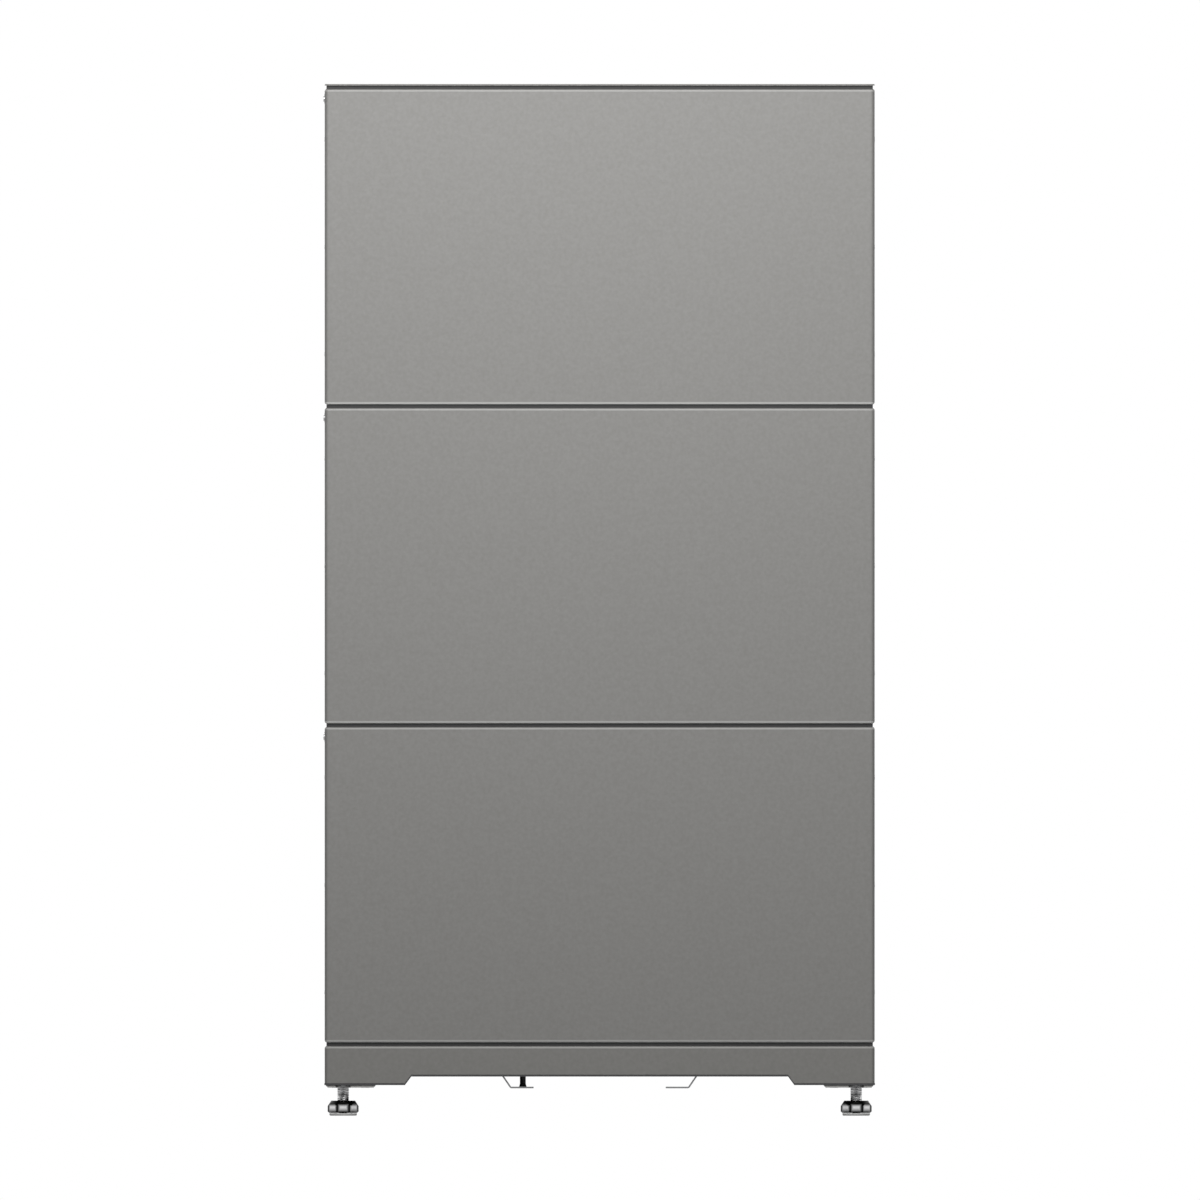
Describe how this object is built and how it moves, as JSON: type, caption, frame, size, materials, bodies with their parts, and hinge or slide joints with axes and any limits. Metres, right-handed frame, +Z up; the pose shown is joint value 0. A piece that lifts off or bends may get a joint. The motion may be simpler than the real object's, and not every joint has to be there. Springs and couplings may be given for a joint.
{
  "type": "battery module",
  "caption": "Floor-standing stack of slim battery modules with plug-in links and guide lugs, on a base with screw-adjusted levelling feet, closed by a thin top cover.",
  "frame": {"origin": "centre of the footprint, on the floor under the foot pads", "axes": "+Z up, +X to the right seen from the front, the front faces -Y"},
  "size_m": [0.67, 0.15, 1.2567],
  "materials": {
    "case_paint": "fine matte powder coat, warm grey",
    "cover_paint": "fine matte powder coat, warm grey",
    "base_paint": "fine matte powder coat, warm grey",
    "dark_plastic": "fine moulded grain, near black",
    "connector_plastic": "moulded, dark grey",
    "seal_rubber": "smooth black",
    "cell_can": "blue film on metal",
    "white_plastic": "moulded, white",
    "plate_aluminium": "milled",
    "busbar_metal": "bare copper",
    "board_resin": "green solder resist",
    "zinc_steel": "zinc plated sheet",
    "plate_steel": "grey coated sheet",
    "bush_steel": "zinc plated",
    "foot_steel": "bright zinc plate",
    "pad_plastic": "moulded, light grey"
  },
  "bodies": {
    "base": {"base_shell": "base_paint", "base_frame": "zinc_steel", "base_foot_plates": "plate_steel", "base_bushes": "bush_steel", "base_cable_hooks": "zinc_steel", "base_hook_post": "dark_plastic", "base_socket": "connector_plastic", "base_terminals": "connector_plastic"},
    "front_left_pad": {"front_left_foot_pad": "pad_plastic"},
    "front_left_screw": {"front_left_foot_screw": "foot_steel"},
    "front_right_pad": {"front_right_foot_pad": "pad_plastic"},
    "front_right_screw": {"front_right_foot_screw": "foot_steel"},
    "rear_left_pad": {"rear_left_foot_pad": "pad_plastic"},
    "rear_left_screw": {"rear_left_foot_screw": "foot_steel"},
    "rear_right_pad": {"rear_right_foot_pad": "pad_plastic"},
    "rear_right_screw": {"rear_right_foot_screw": "foot_steel"},
    "module_1": {"module_1_housing": "case_paint", "module_1_front_cover": "cover_paint", "module_1_gasket": "seal_rubber", "module_1_stacking_frame": "dark_plastic", "module_1_cells": "cell_can", "module_1_busbar_carrier": "white_plastic", "module_1_end_plates": "plate_aluminium", "module_1_busbars": "busbar_metal", "module_1_bms_board": "board_resin", "module_1_top_socket": "connector_plastic", "module_1_bottom_plug": "connector_plastic", "module_1_vent_valve": "dark_plastic"},
    "module_2": {"module_2_housing": "case_paint", "module_2_front_cover": "cover_paint", "module_2_gasket": "seal_rubber", "module_2_stacking_frame": "dark_plastic", "module_2_cells": "cell_can", "module_2_busbar_carrier": "white_plastic", "module_2_end_plates": "plate_aluminium", "module_2_busbars": "busbar_metal", "module_2_bms_board": "board_resin", "module_2_top_socket": "connector_plastic", "module_2_bottom_plug": "connector_plastic", "module_2_vent_valve": "dark_plastic"},
    "module_3": {"module_3_housing": "case_paint", "module_3_front_cover": "cover_paint", "module_3_gasket": "seal_rubber", "module_3_stacking_frame": "dark_plastic", "module_3_cells": "cell_can", "module_3_busbar_carrier": "white_plastic", "module_3_end_plates": "plate_aluminium", "module_3_busbars": "busbar_metal", "module_3_bms_board": "board_resin", "module_3_top_socket": "connector_plastic", "module_3_bottom_plug": "connector_plastic", "module_3_vent_valve": "dark_plastic"},
    "top_cover": {"top_cover": "cover_paint"}
  },
  "joints": [
    {"name": "front_left_foot_level", "type": "slide", "parent": "base", "child": "front_left_pad", "axis": [0, 0, 1], "range_m": [-0.014, 0.014]},
    {"name": "front_left_foot_turn", "type": "hinge", "parent": "front_left_pad", "child": "front_left_screw", "pos_m": [-0.3125, -0.054, 0], "axis": [0, 0, 1], "range_deg": [-2525, 2525]},
    {"name": "front_right_foot_level", "type": "slide", "parent": "base", "child": "front_right_pad", "axis": [0, 0, 1], "range_m": [-0.014, 0.014]},
    {"name": "front_right_foot_turn", "type": "hinge", "parent": "front_right_pad", "child": "front_right_screw", "pos_m": [0.3125, -0.054, 0], "axis": [0, 0, 1], "range_deg": [-2525, 2525]},
    {"name": "rear_left_foot_level", "type": "slide", "parent": "base", "child": "rear_left_pad", "axis": [0, 0, 1], "range_m": [-0.014, 0.014]},
    {"name": "rear_left_foot_turn", "type": "hinge", "parent": "rear_left_pad", "child": "rear_left_screw", "pos_m": [-0.3125, 0.054, 0], "axis": [0, 0, 1], "range_deg": [-2525, 2525]},
    {"name": "rear_right_foot_level", "type": "slide", "parent": "base", "child": "rear_right_pad", "axis": [0, 0, 1], "range_m": [-0.014, 0.014]},
    {"name": "rear_right_foot_turn", "type": "hinge", "parent": "rear_right_pad", "child": "rear_right_screw", "pos_m": [0.3125, 0.054, 0], "axis": [0, 0, 1], "range_deg": [-2525, 2525]},
    {"name": "module_1_lift", "type": "slide", "parent": "base", "child": "module_1", "axis": [0, 0, 1], "range_m": [0, 0.08]},
    {"name": "module_2_lift", "type": "slide", "parent": "module_1", "child": "module_2", "axis": [0, 0, 1], "range_m": [0, 0.08]},
    {"name": "module_3_lift", "type": "slide", "parent": "module_2", "child": "module_3", "axis": [0, 0, 1], "range_m": [0, 0.08]},
    {"name": "top_cover_lift", "type": "slide", "parent": "module_3", "child": "top_cover", "axis": [0, 0, 1], "range_m": [0, 0.08]}
  ],
  "couplings": [
    {"joint": "front_left_foot_turn", "follows": "front_left_foot_level", "rad_per_m": 3141.6},
    {"joint": "front_right_foot_turn", "follows": "front_right_foot_level", "rad_per_m": 3141.6},
    {"joint": "rear_left_foot_turn", "follows": "rear_left_foot_level", "rad_per_m": 3141.6},
    {"joint": "rear_right_foot_turn", "follows": "rear_right_foot_level", "rad_per_m": 3141.6}
  ]
}
